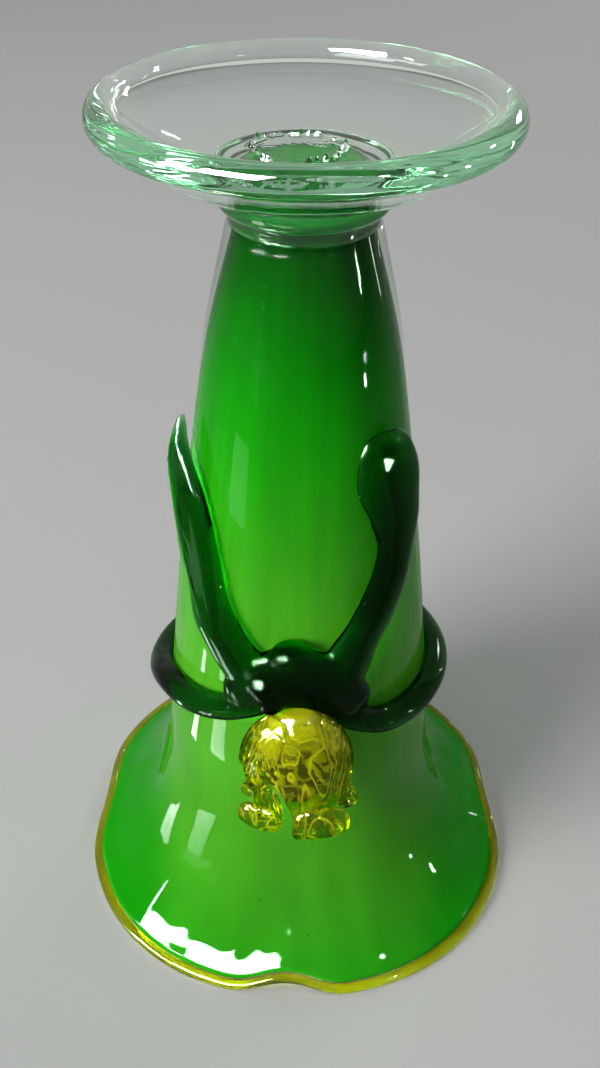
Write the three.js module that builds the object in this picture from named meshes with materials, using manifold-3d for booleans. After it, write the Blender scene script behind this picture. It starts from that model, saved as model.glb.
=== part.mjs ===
// Hot-worked glass vase with an applied flower, stored standing on its ruffled mouth.
// Millimetres, +Z up from the mouth plane to the foot. The flower faces -Y.
// Every gather or bit of glass that was brought to the vase is a solid of its own.

import * as THREE from 'three';
import { mergeVertices } from 'three/addons/utils/BufferGeometryUtils.js';
import Module from 'manifold-3d';

const wasm = await Module();
wasm.setup();

// Whole vase
const HEIGHT = 280; // mouth plane to foot plane
const SEAT_GAP = 0.3; // between two bits of glass that touch
const ROUND_SIDES = 48; // facets round the vase
const DENT_CROWDING = 0.4; // how far those facets crowd towards the dents

// Body outline, from the mouth up to the closed end that carries the foot
const MOUTH_RADIUS = 81.2; // outside of the rim trail at a lobe
const TRAIL_THICKNESS = 3.6;
const FLANGE_SLOPE = 30; // degrees, how far the mouth's flange falls
const FLANGE_RADIUS = 71.5;
const FLANGE_HEIGHT = 8.6;
const BELL_RADIUS = 57.2;
const BELL_HEIGHT = 24.5;
const WAIST_RADIUS = 49.1;
const WAIST_HEIGHT = 45;
const HIP_RADIUS = 45.6;
const HIP_HEIGHT = 80;
const MIDDLE_RADIUS = 38.9;
const MIDDLE_HEIGHT = 142;
const SHOULDER_RADIUS = 28.4;
const SHOULDER_HEIGHT = 214;
const END_RADIUS = 20.6;
const END_HEIGHT = 249.2;
const END_ROUNDING = 2; // turned corner of the closed end

// Layers of the body wall, measured inwards from the outline
const CLEAR_AT_MOUTH = 0.5;
const CLEAR_AT_FOOT = 3.1;
const CLEAR_SWELL_HEIGHT = 178; // above this the clear layer grows thicker
const CLEAR_END = 1.5; // over the closed end
const GREEN_AT_MOUTH = 1;
const GREEN_AT_FOOT = 2.6;
const GREEN_END = 6;
const LINING_THICKNESS = 0.7;
const LINING_END = 1.2;

// Ruffle of the mouth: four dents, one at each quarter, between broad lobes. Degrees and millimetres.
const SIDE_DENT_DEPTH = 3.8;
const FRONT_DENT_DEPTH = 3.2;
const DENTS = [
  { angle: 6, halfAngle: 24, depth: SIDE_DENT_DEPTH },
  { angle: 90, halfAngle: 15.5, depth: FRONT_DENT_DEPTH }, // at the back, not seen, like the front one
  { angle: 175, halfAngle: 23, depth: SIDE_DENT_DEPTH },
  { angle: 268, halfAngle: 15.5, depth: FRONT_DENT_DEPTH },
];
const DENT_RISE = 3.4; // how far the mouth's edge is lifted at a dent
const LOBE_SWELL = 1.2; // how far the lobes swell at the diagonals
const RUFFLE_HEIGHT = 58; // the ruffle dies out at this height

// Wafer between the body and the foot, and the foot itself
const WAFER_RADIUS = 23.6;
const WAFER_THICKNESS = 6.4;
const WAFER_EDGE = 2.4; // rounding of its edge
const FOOT_RADIUS = 55.7;
const FOOT_CENTRE_THICKNESS = 7.2;
const FOOT_LIP_RADIUS = 4.2; // rolled edge of the foot
const FOOT_CONTACT_WIDTH = 2.4; // flat ring that the vase stands on in use
const FOOT_MIDDLE_RADIUS = 38;
const FOOT_MIDDLE_RISE = 4.6; // underside of the plate above its centre
const FOOT_MIDDLE_THICKNESS = 7;
const FOOT_SLOPE_RADIUS = 27.4; // where the plate begins to rise
const FOOT_SLOPE_LAG = 4; // its underside begins this much farther out
const PONTIL_RADIUS = 12.5;
const PONTIL_MARGIN = 2; // level glass round the scar
const PONTIL_THICKNESS = 2.6;
const PONTIL_ROUGHNESS = 0.28;

// Dark green stem work on the front of the body
const FRONT_ANGLE = 268; // degrees, direction of the flower
const CROSSING_HEIGHT = 118; // centre of the bridge where stems and leaves meet
const STEM_THICKNESS = 7.4;
const STEM_WIDTH = 7.8;
const BRIDGE_THICKNESS = 8.4;
const BRIDGE_WIDTH = 21.5;
const LEAF_THICKNESS = 6.6;
const POINTED_LEAF_WIDTH = 14.6;
const POINTED_LEAF_RISE = 72.5; // its tip above the crossing
const FLANGE_THICKNESS = 1.6; // thin left edge of the pointed leaf
const FLANGE_LIFT = 5; // that edge stands off the body
const TIP_LIFT = 2.6; // tip of the pointed leaf off the body
const SPOON_LEAF_WIDTH = 24;
const SPOON_NECK_WIDTH = 12.4;
const SPOON_LEAF_RISE = 77;
const SPOON_LIFT = 2.2; // outer edge of the spoon's bowl off the body
const RING_DROP = 38; // lowest place of the ring, behind the vase, below the crossing
const BRIDGE_DROP = 16; // ends of the bridge below its middle

// Routes on the body: degrees from the front, then height above the crossing as a share of the
// rise or drop named above
const RING_ROUTE = [
  [-19, -0.32], [-29, -0.42], [-43, -0.53], [-63, -0.63], [-90, -0.87], [-122, -1],
  [-180, -0.97], [-230, -0.82], [-268, -0.71], [-290, -0.66], [-308, -0.63], [-323, -0.58],
  [-337, -0.42],
];
const BRIDGE_ROUTE = [[-25, -0.85], [-15, -0.28], [0, 0.08], [14, -0.18], [26, -1]];
const POINTED_ROUTE = [
  [-14, -0.1], [-24, 0.07], [-37, 0.25], [-49, 0.52], [-60, 0.73], [-71, 0.88], [-77, 1],
];
const SPOON_ROUTE = [
  [14, -0.12], [25, 0.12], [36, 0.27], [46, 0.44], [50, 0.61], [48, 0.79], [46, 1],
];

// Yellow bud that hangs from the bridge towards the mouth
const BUD_LENGTH = 39.5;
const BUD_RADIUS = 18.4;
const BUD_FRONT_DEPTH = 0.64; // depth of the bud's front half as a share of its width
const BUD_BACK_DEPTH = 0.46; // the back half is pressed flatter against the body
const BUD_TILT = 11; // degrees off the vertical, tips away from the body
const BUD_SIDE_SHIFT = 2; // centre of the bud beside the middle of the bridge
const BUD_OVERLAP = 5.2; // how far its root reaches up in front of the bridge's lower edge
const HEART_LENGTH = 30;
const HEART_RADIUS = 7.6;
const PETAL_COUNT = 5;
const PETAL_TURN = -17; // degrees, where the first petal's left edge lies
const PETAL_THICKNESS = 2.6;
const PETAL_CURL = 1.6; // how far the tips of the side and back petals roll outwards
const FRONT_CURL = 5; // the same for the two front petals
const FRONT_TIP_THICKNESS = 6; // the front petals end in fat drops of glass
const PETAL_TIP_WIDTH = 0.7; // share of a petal's width that is left at its tip
const PETAL_ROOT = 2.5; // where the petals begin below the root of the bud
const PETAL_STAGGER = 2; // every other petal is this much shorter

// Where the pieces above one another sit
const BODY_END = END_HEIGHT + END_ROUNDING;
const WAFER_BOTTOM = BODY_END + SEAT_GAP;
const FOOT_BOTTOM = WAFER_BOTTOM + WAFER_THICKNESS + SEAT_GAP;
const FOOT_DISH = FOOT_BOTTOM + FOOT_CENTRE_THICKNESS;
const radians = THREE.MathUtils.degToRad;
const smoothstep = THREE.MathUtils.smoothstep;
const lerp = THREE.MathUtils.lerp;

// Joins the shared vertices of a geometry, drops collapsed faces and turns the faces outwards.
function closeMesh(geometry) {
  geometry.deleteAttribute('normal');
  geometry.deleteAttribute('uv');
  const merged = mergeVertices(geometry, 1e-4);
  const position = merged.getAttribute('position');
  const index = merged.getIndex().array;
  const kept = [];
  let volume = 0;
  const corners = [new THREE.Vector3(), new THREE.Vector3(), new THREE.Vector3()];
  for (let i = 0; i < index.length; i += 3) {
    const face = [index[i], index[i + 1], index[i + 2]];
    if (new Set(face).size < 3) continue;
    corners.forEach((corner, k) => corner.fromBufferAttribute(position, face[k]));
    volume += corners[0].dot(corners[1].clone().cross(corners[2]));
    kept.push(...face);
  }
  if (volume < 0) kept.reverse();
  merged.setIndex(kept);
  return merged;
}

// Moves every vertex of a geometry by a function of its place.
function reshape(geometry, move) {
  const position = geometry.getAttribute('position');
  const place = new THREE.Vector3();
  for (let i = 0; i < position.count; i += 1) {
    place.fromBufferAttribute(position, i);
    move(place);
    position.setXYZ(i, place.x, place.y, place.z);
  }
  return geometry;
}

// Turns a profile of [radius, height] points about the vase's axis.
function turn(profile, sides = ROUND_SIDES) {
  const points = profile.map(([radius, height]) => new THREE.Vector2(radius, height));
  const lathe = new THREE.LatheGeometry(points, sides);
  lathe.rotateX(Math.PI / 2);
  return closeMesh(lathe);
}

function toManifold(geometry) {
  const vertProperties = new Float32Array(geometry.getAttribute('position').array);
  const triVerts = new Uint32Array(geometry.getIndex().array);
  return new wasm.Manifold(new wasm.Mesh({ numProp: 3, vertProperties, triVerts }));
}

function fromManifold(solid) {
  const mesh = solid.getMesh();
  const geometry = new THREE.BufferGeometry();
  geometry.setAttribute('position', new THREE.BufferAttribute(mesh.vertProperties, 3));
  geometry.setIndex(new THREE.BufferAttribute(mesh.triVerts, 1));
  return geometry;
}

// Cuts the grown neighbours out of a piece and keeps its main body.
function seatAgainst(geometry, neighbours) {
  let solid = toManifold(geometry);
  neighbours.forEach((neighbour) => {
    solid = solid.subtract(toManifold(neighbour));
  });
  const bodies = solid.decompose().sort((a, b) => b.volume() - a.volume());
  return fromManifold(bodies[0]);
}

// Share of a dent that is felt at an angle, from 0 outside it to 1 at its middle.
function dentShare(dent, angle) {
  const away = Math.abs(THREE.MathUtils.euclideanModulo(angle - dent.angle + 180, 360) - 180);
  return away < dent.halfAngle ? 0.5 + 0.5 * Math.cos((Math.PI * away) / dent.halfAngle) : 0;
}

// Ruffle: a point near the mouth is drawn in and lifted at each dent, and swells at each lobe.
function ruffle(place) {
  const evenTurn = Math.atan2(place.y, place.x);
  const turned = evenTurn - 0.25 * DENT_CROWDING * Math.sin(4 * evenTurn);
  const angle = THREE.MathUtils.radToDeg(turned);
  const share = 1 - smoothstep(place.z, 0, RUFFLE_HEIGHT);
  let inwards = LOBE_SWELL * Math.cos(4 * turned);
  let rise = 0;
  DENTS.forEach((dent) => {
    inwards += dent.depth * dentShare(dent, angle);
    rise += DENT_RISE * dentShare(dent, angle);
  });
  const radius = Math.hypot(place.x, place.y);
  const drawn = radius > 0 ? radius - share * inwards : 0;
  const lifted = place.z + share * rise;
  place.set(drawn * Math.cos(turned), drawn * Math.sin(turned), lifted);
}

// Outline of the body as a smooth curve from the mouth's edge to the closed end.
const trailRadius = TRAIL_THICKNESS / 2;
const wallAtMouth = CLEAR_AT_MOUTH + GREEN_AT_MOUTH + LINING_THICKNESS + 2 * SEAT_GAP;
const fallAngle = radians(FLANGE_SLOPE);
const trailCentre = new THREE.Vector2(MOUTH_RADIUS - trailRadius, trailRadius);
const edgeReach = trailRadius + SEAT_GAP;
const mouthEdge = new THREE.Vector3(
  trailCentre.x - edgeReach * Math.cos(fallAngle) + 0.5 * wallAtMouth * Math.sin(fallAngle),
  trailCentre.y + edgeReach * Math.sin(fallAngle) + 0.5 * wallAtMouth * Math.cos(fallAngle),
  0,
);
const outline = new THREE.CatmullRomCurve3([
  mouthEdge,
  new THREE.Vector3(FLANGE_RADIUS, FLANGE_HEIGHT, 0),
  new THREE.Vector3(BELL_RADIUS, BELL_HEIGHT, 0),
  new THREE.Vector3(WAIST_RADIUS, WAIST_HEIGHT, 0),
  new THREE.Vector3(HIP_RADIUS, HIP_HEIGHT, 0),
  new THREE.Vector3(MIDDLE_RADIUS, MIDDLE_HEIGHT, 0),
  new THREE.Vector3(SHOULDER_RADIUS, SHOULDER_HEIGHT, 0),
  new THREE.Vector3(END_RADIUS, END_HEIGHT, 0),
], false, 'centripetal');
const OUTLINE_SAMPLES = 240;
const outlinePoints = outline.getSpacedPoints(OUTLINE_SAMPLES);

function bodyRadius(height) {
  const after = outlinePoints.findIndex((point) => point.y >= height);
  const high = after < 0 ? outlinePoints.length - 1 : Math.max(after, 1);
  const low = outlinePoints[high - 1];
  const top = outlinePoints[high];
  return lerp(low.x, top.x, THREE.MathUtils.clamp((height - low.y) / (top.y - low.y), 0, 1));
}

// Depth of each face of the wall below the outline, at a height.
function clearDepth(height) {
  const swell = smoothstep(height, CLEAR_SWELL_HEIGHT, END_HEIGHT);
  return lerp(CLEAR_AT_MOUTH, CLEAR_AT_FOOT, swell);
}

function greenDepth(height) {
  const green = lerp(GREEN_AT_MOUTH, GREEN_AT_FOOT, height / END_HEIGHT);
  return clearDepth(height) + SEAT_GAP + green;
}

// Points of one face of the wall, from the mouth to the axis, crowded towards the mouth.
const WALL_STATIONS = 11;
function wallFace(depth, end) {
  const line = outlinePoints.map((point, i) => {
    const tangent = outline.getTangentAt(i / OUTLINE_SAMPLES);
    const below = depth(point.y);
    return [point.x - tangent.y * below, point.y + tangent.x * below];
  }).filter(([, height]) => height < end - END_ROUNDING);
  const face = [];
  for (let i = 0; i <= WALL_STATIONS; i += 1) {
    const share = (i / WALL_STATIONS) ** 1.7;
    face.push(line[Math.round(share * (line.length - 1))]);
  }
  const lastRadius = face[WALL_STATIONS][0];
  face.push([lastRadius - 0.3 * END_ROUNDING, end - 0.3 * END_ROUNDING]);
  face.push([lastRadius - END_ROUNDING, end]);
  face.push([0, end]);
  return face;
}

// A layer of the wall is a cup that is open at the mouth.
function layer(outerDepth, outerEnd, innerDepth, innerEnd) {
  const outer = wallFace(outerDepth, outerEnd);
  const inner = wallFace(innerDepth, innerEnd);
  return reshape(turn([...outer.reverse(), ...inner]), ruffle);
}

function clearCasing() {
  return layer(() => 0, BODY_END, clearDepth, BODY_END - CLEAR_END);
}

const greenEnd = BODY_END - CLEAR_END - SEAT_GAP;
function greenCasing() {
  return layer((z) => clearDepth(z) + SEAT_GAP, greenEnd, greenDepth, greenEnd - GREEN_END);
}

const liningEnd = greenEnd - GREEN_END - SEAT_GAP;
function opalLining() {
  const outerDepth = (z) => greenDepth(z) + SEAT_GAP;
  const innerDepth = (z) => outerDepth(z) + LINING_THICKNESS;
  return layer(outerDepth, liningEnd, innerDepth, liningEnd - LINING_END);
}

// Round cord of glass laid along the mouth's edge.
const TRAIL_SIDES = 8;
function rimTrail() {
  const section = [];
  for (let i = 0; i <= TRAIL_SIDES; i += 1) {
    const angle = (2 * Math.PI * (i % TRAIL_SIDES)) / TRAIL_SIDES - Math.PI / 2;
    section.push([
      trailCentre.x + trailRadius * Math.cos(angle),
      trailCentre.y + trailRadius * Math.sin(angle),
    ]);
  }
  return reshape(turn(section), ruffle);
}

// Wafer with a rounded edge that joins the closed end to the foot.
function footWafer() {
  const top = WAFER_BOTTOM + WAFER_THICKNESS;
  const edge = WAFER_RADIUS - WAFER_EDGE;
  const profile = [[0, WAFER_BOTTOM]];
  const EDGE_STEPS = 2;
  [WAFER_BOTTOM + WAFER_EDGE, top - WAFER_EDGE].forEach((height, corner) => {
    for (let i = 0; i <= EDGE_STEPS; i += 1) {
      const angle = (Math.PI / 2) * (i / EDGE_STEPS + corner - 1);
      profile.push([edge + WAFER_EDGE * Math.cos(angle), height + WAFER_EDGE * Math.sin(angle)]);
    }
  });
  profile.push([0, top]);
  return turn(profile);
}

// Foot: a plate that rises to a thick rolled edge, with a flat contact ring on its crest.
const contactRadius = FOOT_RADIUS - FOOT_LIP_RADIUS + 0.5 * FOOT_CONTACT_WIDTH;
function footDisc() {
  const lipCentre = [FOOT_RADIUS - FOOT_LIP_RADIUS, HEIGHT - FOOT_LIP_RADIUS];
  const underLip = (angle) => [
    lipCentre[0] + FOOT_LIP_RADIUS * Math.cos(radians(angle)),
    lipCentre[1] + FOOT_LIP_RADIUS * Math.sin(radians(angle)),
  ];
  const middleTop = FOOT_BOTTOM + FOOT_MIDDLE_RISE + FOOT_MIDDLE_THICKNESS;
  return turn([
    [0, FOOT_BOTTOM],
    [WAFER_RADIUS, FOOT_BOTTOM],
    [FOOT_SLOPE_RADIUS + FOOT_SLOPE_LAG, FOOT_BOTTOM + 0.4 * FOOT_MIDDLE_RISE],
    [FOOT_MIDDLE_RADIUS, FOOT_BOTTOM + FOOT_MIDDLE_RISE],
    underLip(-70),
    underLip(-35),
    underLip(0),
    underLip(35),
    [contactRadius, HEIGHT],
    [contactRadius - FOOT_CONTACT_WIDTH, HEIGHT],
    underLip(138),
    underLip(165),
    [FOOT_MIDDLE_RADIUS, middleTop],
    [FOOT_SLOPE_RADIUS, FOOT_DISH + 0.3 * (middleTop - FOOT_DISH)],
    [PONTIL_RADIUS + PONTIL_MARGIN, FOOT_DISH],
    [0, FOOT_DISH],
  ]);
}

// Rough scar of the bit of glass that held the vase on the pontil iron.
function pontilScar() {
  const base = FOOT_DISH + SEAT_GAP;
  const RINGS = 4;
  const profile = [[0, base]];
  for (let i = 0; i <= RINGS; i += 1) {
    const share = i / RINGS;
    profile.push([PONTIL_RADIUS * (1 - share), base + PONTIL_THICKNESS * Math.sqrt(share)]);
  }
  return reshape(turn(profile, 22), (place) => {
    const angle = Math.atan2(place.y, place.x);
    const radius = Math.hypot(place.x, place.y);
    const jagged = Math.sin(5 * angle + 0.6 * radius) + 0.7 * Math.sin(9 * angle - radius);
    const share = (place.z - base) / PONTIL_THICKNESS;
    const spread = 1 + 0.05 * Math.sin(3 * angle + 1) + 0.04 * Math.sin(7 * angle);
    const lift = share > 0.01 ? (PONTIL_ROUGHNESS * jagged * radius) / PONTIL_RADIUS : 0;
    place.set(place.x * spread, place.y * spread, place.z + lift);
  });
}

// A bit of hot glass drawn out along a line: a ball whose poles are the two ends.
// place(along, turn) gives a point, where along runs from 0 to 1 and turn goes round the section.
function drawnBit(steps, sides, place) {
  const ball = new THREE.SphereGeometry(1, sides, steps);
  return closeMesh(reshape(ball, (point) => {
    const along = THREE.MathUtils.clamp(0.5 - 0.5 * point.y, 0, 1);
    const atPole = along < 1e-6 || along > 1 - 1e-6;
    const onSeam = Math.abs(point.z) < 1e-9; // both ends of a ring of vertices land on one angle
    const round = atPole ? 0 : Math.atan2(onSeam ? 0 : point.z, point.x);
    point.copy(place(along, round, atPole ? 0 : 1));
  }));
}

// Blunt rounding of both ends of a drawn bit.
const endTaper = (along, bluntness) => (1 - Math.abs(2 * along - 1) ** bluntness) ** (1 / bluntness);

// Interpolates evenly spaced values smoothly along a piece.
function swell(values, along) {
  const last = values.length - 1;
  const i = Math.min(Math.floor(along * last), last - 1);
  const share = along * last - i;
  return lerp(values[i], values[i + 1], share * share * (3 - 2 * share));
}

// A point over the body: degrees from the front, height, and distance off the glass.
function overBody(angle, height, away) {
  const radius = bodyRadius(height) + SEAT_GAP + away;
  const direction = radians(FRONT_ANGLE) + angle;
  return new THREE.Vector3(radius * Math.cos(direction), radius * Math.sin(direction), height);
}

// A bit laid on the body along a route. Its section is flat where it lies on the body.
function laidBit({ route, rise, steps, sides, width, thickness, bluntness = 5, lift, grow = 0 }) {
  const reach = bodyRadius(CROSSING_HEIGHT);
  const line = new THREE.CatmullRomCurve3(route.map(([angle, share]) => (
    new THREE.Vector3(radians(angle) * reach, CROSSING_HEIGHT + share * rise, 0)
  )), false, 'centripetal');
  return drawnBit(steps, sides, (along, round, open) => {
    const centre = line.getPointAt(along);
    const tangent = line.getTangentAt(along);
    const taper = open * endTaper(along, bluntness);
    const across = (0.5 * width(along) * taper + grow * open) * Math.cos(round);
    const arch = Math.sin(round);
    const crown = arch < 0 ? -Math.sqrt(-arch) : arch;
    const tall = thickness(along, Math.cos(round)) * taper + grow * open;
    const away = tall * (0.5 + 0.5 * crown) - grow * open * (0.5 - 0.5 * crown);
    const height = centre.y + tangent.x * across;
    const angle = centre.x / reach - (tangent.y * across) / bodyRadius(height);
    const raised = lift ? lift(along, open * Math.cos(round)) : 0;
    return overBody(angle, height, away + raised);
  });
}

function stemRing(grow) {
  return laidBit({
    route: RING_ROUTE,
    rise: RING_DROP,
    steps: 40,
    sides: 9,
    width: () => STEM_WIDTH,
    thickness: () => STEM_THICKNESS,
    bluntness: 16,
    grow,
  });
}

function stemBridge(grow) {
  return laidBit({
    route: BRIDGE_ROUTE,
    rise: BRIDGE_DROP,
    steps: 16,
    sides: 14,
    width: (along) => BRIDGE_WIDTH * swell([0.5, 0.85, 1, 1, 0.85, 0.5], along),
    thickness: (along) => BRIDGE_THICKNESS * swell([0.7, 0.95, 1, 1, 0.95, 0.7], along),
    grow,
  });
}

// Pointed leaf: a thick rib on the right, and a thin free flange on the left.
function leafPointed(grow) {
  return laidBit({
    route: POINTED_ROUTE,
    rise: POINTED_LEAF_RISE,
    steps: 22,
    sides: 14,
    width: (along) => POINTED_LEAF_WIDTH * swell([1.5, 1.1, 0.95, 1, 1.05, 0.8, 0.25], along),
    thickness: (along, side) => {
      const flange = smoothstep(along, 0.35, 0.55) * smoothstep(side, -0.2, 0.4);
      return lerp(LEAF_THICKNESS * swell([1, 1, 0.9, 0.8], along), FLANGE_THICKNESS, flange);
    },
    lift: (along, side) => {
      const free = smoothstep(along, 0.3, 0.6) * (1 - smoothstep(along, 0.85, 1));
      const tip = TIP_LIFT * smoothstep(along, 0.6, 1);
      return FLANGE_LIFT * free * smoothstep(side, -0.3, 1) + tip;
    },
    bluntness: 3,
    grow,
  });
}

// Spoon leaf: a narrow neck that opens into a rounded bowl.
function leafSpoon(grow) {
  const bowl = SPOON_LEAF_WIDTH / SPOON_NECK_WIDTH;
  return laidBit({
    route: SPOON_ROUTE,
    rise: SPOON_LEAF_RISE,
    steps: 22,
    sides: 14,
    width: (along) => SPOON_NECK_WIDTH * swell([2.2, 1.3, 1, 1, 1, 0.75 * bowl, bowl, 0.9 * bowl], along),
    thickness: (along) => LEAF_THICKNESS * swell([1, 0.92, 0.9, 0.78, 0.65], along),
    lift: (along, side) => SPOON_LIFT * smoothstep(along, 0.5, 0.8) * smoothstep(-side, -0.2, 1),
    bluntness: 4,
    grow,
  });
}

// Bud: its own axis starts under the bridge and leans away from the body towards the mouth.
const budTop = CROSSING_HEIGHT - 0.5 * BRIDGE_WIDTH + BUD_OVERLAP;
const budRoot = overBody(radians(BUD_SIDE_SHIFT), budTop, 1.05 * BRIDGE_THICKNESS);
const outwards = new THREE.Vector3(
  Math.cos(radians(FRONT_ANGLE)),
  Math.sin(radians(FRONT_ANGLE)),
  0,
);
const sideways = new THREE.Vector3(-outwards.y, outwards.x, 0);
const budAxis = new THREE.Vector3(0, 0, -Math.cos(radians(BUD_TILT)))
  .addScaledVector(outwards, Math.sin(radians(BUD_TILT)));
const budFront = outwards.clone().multiplyScalar(Math.cos(radians(BUD_TILT)))
  .add(new THREE.Vector3(0, 0, Math.sin(radians(BUD_TILT))));

const budDepth = (angle) => (Math.cos(angle) > 0 ? BUD_FRONT_DEPTH : BUD_BACK_DEPTH);

// A point of the bud: distance along its axis, angle from its front, and radius at its side.
function inBud(distance, angle, radius) {
  return budRoot.clone()
    .addScaledVector(budAxis, distance)
    .addScaledVector(sideways, radius * Math.sin(angle))
    .addScaledVector(budFront, radius * budDepth(angle) * Math.cos(angle));
}

// Angle that a short length takes up on the bud's flattened round.
function budTurn(length, angle, radius) {
  return length / (radius * Math.hypot(Math.cos(angle), budDepth(angle) * Math.sin(angle)));
}

function heartRadius(distance) {
  const share = THREE.MathUtils.clamp(distance / HEART_LENGTH, 0, 1);
  return HEART_RADIUS * swell([0.9, 1, 1, 0.95, 0.75, 0.35], share);
}

function flowerHeart() {
  return drawnBit(10, 12, (along, round, open) => {
    const distance = HEART_LENGTH * along;
    const wave = 1 + 0.06 * Math.sin(3 * round + 0.4 * distance);
    return inBud(distance, round, open * heartRadius(distance) * wave * endTaper(along, 6));
  });
}

// Middle of a petal's thickness: it leaves the heart, swells to the bud and rolls out at the tip.
const heartClearance = HEART_RADIUS * 0.12 + 3 * SEAT_GAP;
function petalRadius(distance, curl, thickness) {
  const share = distance / BUD_LENGTH;
  const shell = BUD_RADIUS * swell([0.45, 0.85, 1, 0.98, 0.9, 0.84, 0.82], share);
  const rolled = curl * smoothstep(share, 0.78, 1);
  const outside = heartRadius(distance) + heartClearance + 0.5 * thickness;
  return Math.max(shell + rolled - 0.5 * PETAL_THICKNESS, outside);
}

function petal(number) {
  const sector = (2 * Math.PI) / PETAL_COUNT;
  const start = radians(PETAL_TURN) + number * sector;
  const finish = start + sector;
  const inFront = number === 0 || number === PETAL_COUNT - 1;
  const curl = inFront ? FRONT_CURL : PETAL_CURL;
  const tip = inFront ? FRONT_TIP_THICKNESS : PETAL_THICKNESS;
  const length = BUD_LENGTH - PETAL_ROOT - (number % 2) * PETAL_STAGGER;
  return drawnBit(13, 10, (along, round, open) => {
    const distance = PETAL_ROOT + length * along;
    const taper = open * endTaper(along, 3.4);
    const ending = smoothstep(along, 0.66, 0.9);
    const thickness = lerp(PETAL_THICKNESS, tip, ending);
    const radius = petalRadius(distance, curl, thickness);
    const first = start + budTurn(0.6 * SEAT_GAP, start, radius);
    const last = finish - budTurn(0.6 * SEAT_GAP, finish, radius);
    const width = taper * lerp(1, PETAL_TIP_WIDTH, ending);
    const angle = lerp(first, last, 0.5 + 0.5 * width * Math.cos(round));
    return inBud(distance, angle, radius + 0.5 * thickness * taper * Math.sin(round));
  });
}

// Colours of the glass
const CLEAR = { color: 0xdff0e6, roughness: 0.03, transparent: true, opacity: 0.3 };
const OPAL = { color: 0xe4edcf, roughness: 0.2 };
const GREEN = { color: 0x2f9a26, roughness: 0.08 };
const DARK_GREEN = { color: 0x0b2b12, roughness: 0.06 };
const YELLOW = { color: 0xc9c312, roughness: 0.06, transparent: true, opacity: 0.8 };

const vase = new THREE.Group();

function add(name, geometry, look) {
  geometry.computeVertexNormals();
  const material = new THREE.MeshStandardMaterial({ metalness: 0, ...look });
  const mesh = new THREE.Mesh(geometry, material);
  mesh.name = name;
  vase.add(mesh);
}

add('opal_lining', opalLining(), OPAL);
add('green_casing', greenCasing(), GREEN);
add('clear_casing', clearCasing(), CLEAR);
add('rim_trail', rimTrail(), YELLOW);
add('foot_wafer', footWafer(), CLEAR);
add('foot_disc', footDisc(), CLEAR);
add('pontil_scar', pontilScar(), CLEAR);

// The stem work is seated piece by piece: each later bit is trimmed to the ones before it.
const bridgeSeat = stemBridge(SEAT_GAP);
const leafSeats = [bridgeSeat, leafPointed(SEAT_GAP), leafSpoon(SEAT_GAP)];
add('stem_bridge', stemBridge(0), DARK_GREEN);
add('leaf_pointed', seatAgainst(leafPointed(0), [bridgeSeat]), DARK_GREEN);
add('leaf_spoon', seatAgainst(leafSpoon(0), leafSeats.slice(0, 2)), DARK_GREEN);
add('stem_ring', seatAgainst(stemRing(0), leafSeats), DARK_GREEN);

const PETAL_NAMES = ['petal_front_right', 'petal_right', 'petal_back', 'petal_left', 'petal_front_left'];
add('flower_heart', seatAgainst(flowerHeart(), [bridgeSeat]), YELLOW);
PETAL_NAMES.forEach((name, number) => {
  add(name, seatAgainst(petal(number), [bridgeSeat]), YELLOW);
});

export default vase;
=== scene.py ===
"""Hot-worked glass vase with an applied flower, standing on its ruffled mouth.

Metres, +Z up from the mouth to the foot, the flower facing -Y. The layers of the body, the cord on
the mouth, the clear foot, the dark stem work and the yellow bud each have their own section.
"""

import math

import bmesh
import bpy
import numpy as np
from mathutils import Matrix


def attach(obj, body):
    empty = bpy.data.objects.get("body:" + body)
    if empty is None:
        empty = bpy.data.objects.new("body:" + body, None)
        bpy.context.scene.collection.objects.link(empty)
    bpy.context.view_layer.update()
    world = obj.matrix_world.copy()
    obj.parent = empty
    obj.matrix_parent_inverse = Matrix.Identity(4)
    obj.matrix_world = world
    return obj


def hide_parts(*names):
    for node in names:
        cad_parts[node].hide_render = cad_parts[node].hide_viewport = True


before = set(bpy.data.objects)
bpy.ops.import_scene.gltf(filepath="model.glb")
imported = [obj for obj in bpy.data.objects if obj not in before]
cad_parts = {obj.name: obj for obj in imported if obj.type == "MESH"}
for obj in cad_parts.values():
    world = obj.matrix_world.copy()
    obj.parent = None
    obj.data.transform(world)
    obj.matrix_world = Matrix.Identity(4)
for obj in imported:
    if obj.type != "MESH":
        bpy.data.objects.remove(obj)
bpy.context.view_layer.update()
MM = 0.001


# Camera: the photograph looks down on the vase from the flower's side, 0.37 m from its middle.
CAMERA_PLACE = (-0.14 * MM, -290.5 * MM, 364.5 * MM)
CAMERA_PITCH = math.radians(37.59)
CAMERA_ROLL = -0.0126
FOCAL_PIXELS = 1130.1
PHOTO_HEIGHT = 1068
SENSOR = 36.0

camera_data = bpy.data.cameras.new("camera")
camera_data.sensor_width = SENSOR
camera_data.sensor_height = SENSOR
camera_data.lens = FOCAL_PIXELS / PHOTO_HEIGHT * SENSOR
camera_data.clip_start = 0.01
camera = bpy.data.objects.new("camera", camera_data)
camera.matrix_world = (
    Matrix.Translation(CAMERA_PLACE)
    @ Matrix.Rotation(math.pi / 2 - CAMERA_PITCH, 4, "X")
    @ Matrix.Rotation(-CAMERA_ROLL, 4, "Z")
)
scene = bpy.context.scene
scene.collection.objects.link(camera)
scene.camera = camera
scene.view_settings.view_transform = "Standard"
scene.cycles.max_bounces = 20
scene.cycles.glossy_bounces = 14
scene.cycles.transmission_bounces = 16
scene.cycles.transparent_max_bounces = 32


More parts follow.
